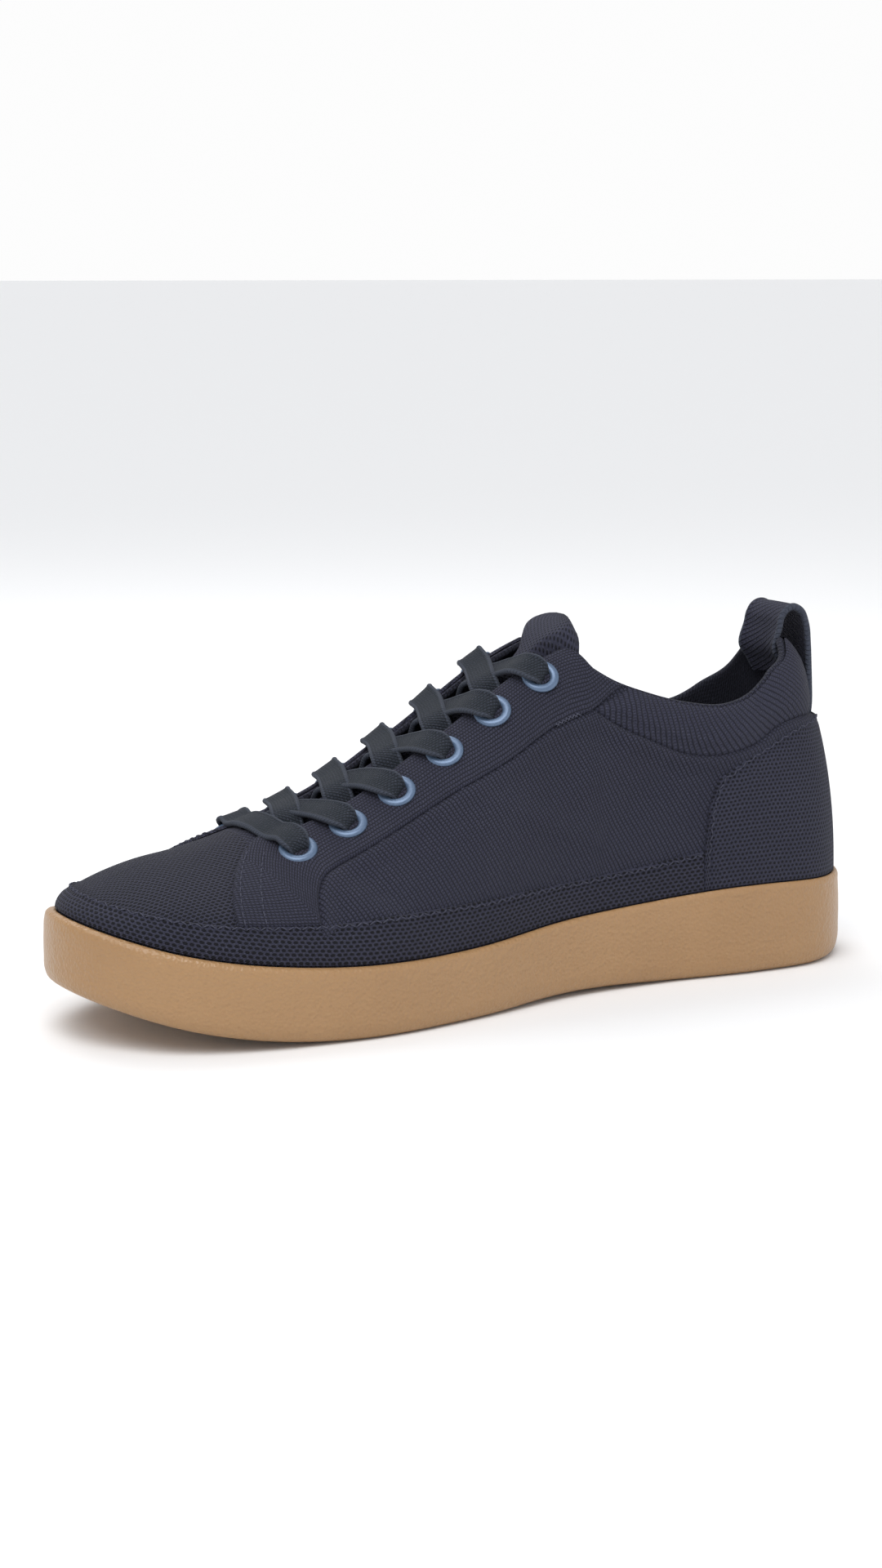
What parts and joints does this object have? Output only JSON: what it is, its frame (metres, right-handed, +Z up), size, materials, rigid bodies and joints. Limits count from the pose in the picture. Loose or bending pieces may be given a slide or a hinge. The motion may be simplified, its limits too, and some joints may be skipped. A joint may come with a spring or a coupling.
{
  "type": "slip-on sneaker",
  "caption": "Low knit slip-on sneaker for the right foot, with flat elastic strips through eyelets, a padded tongue, a heel pull loop and a rubber cupsole.",
  "frame": {"origin": "centre of the heel's flat tread, on the floor", "axes": "+X towards the toe, +Y towards the medial side of the right foot, +Z up; the tread stands on z = 0"},
  "size_m": [0.272, 0.0987, 0.1146],
  "materials": {
    "gum_rubber": "satin moulded gum rubber with a fine grain",
    "sock_cloth": "matte dark sock cloth",
    "knit": "matte navy knit",
    "open_mesh": "matte navy knit with open holes",
    "rib_knit": "matte navy ribbed knit",
    "elastic": "matte dark woven elastic",
    "enamel": "satin blue enamel"
  },
  "bodies": {
    "root": {"outsole": "gum_rubber", "insole": "sock_cloth", "upper": "knit", "tongue": "knit", "mudguard": "open_mesh", "heel_counter": "open_mesh", "pull_loop": "rib_knit", "lace_bar": "elastic", "lace_cross_2": "elastic", "lace_cross_3": "elastic", "lace_cross_4": "elastic", "lace_cross_5": "elastic", "lace_cross_6": "elastic", "eyelet_medial_1": "enamel", "eyelet_medial_2": "enamel", "eyelet_medial_3": "enamel", "eyelet_medial_4": "enamel", "eyelet_medial_5": "enamel", "eyelet_medial_6": "enamel", "eyelet_lateral_1": "enamel", "eyelet_lateral_2": "enamel", "eyelet_lateral_3": "enamel", "eyelet_lateral_4": "enamel", "eyelet_lateral_5": "enamel", "eyelet_lateral_6": "enamel"}
  },
  "joints": []
}
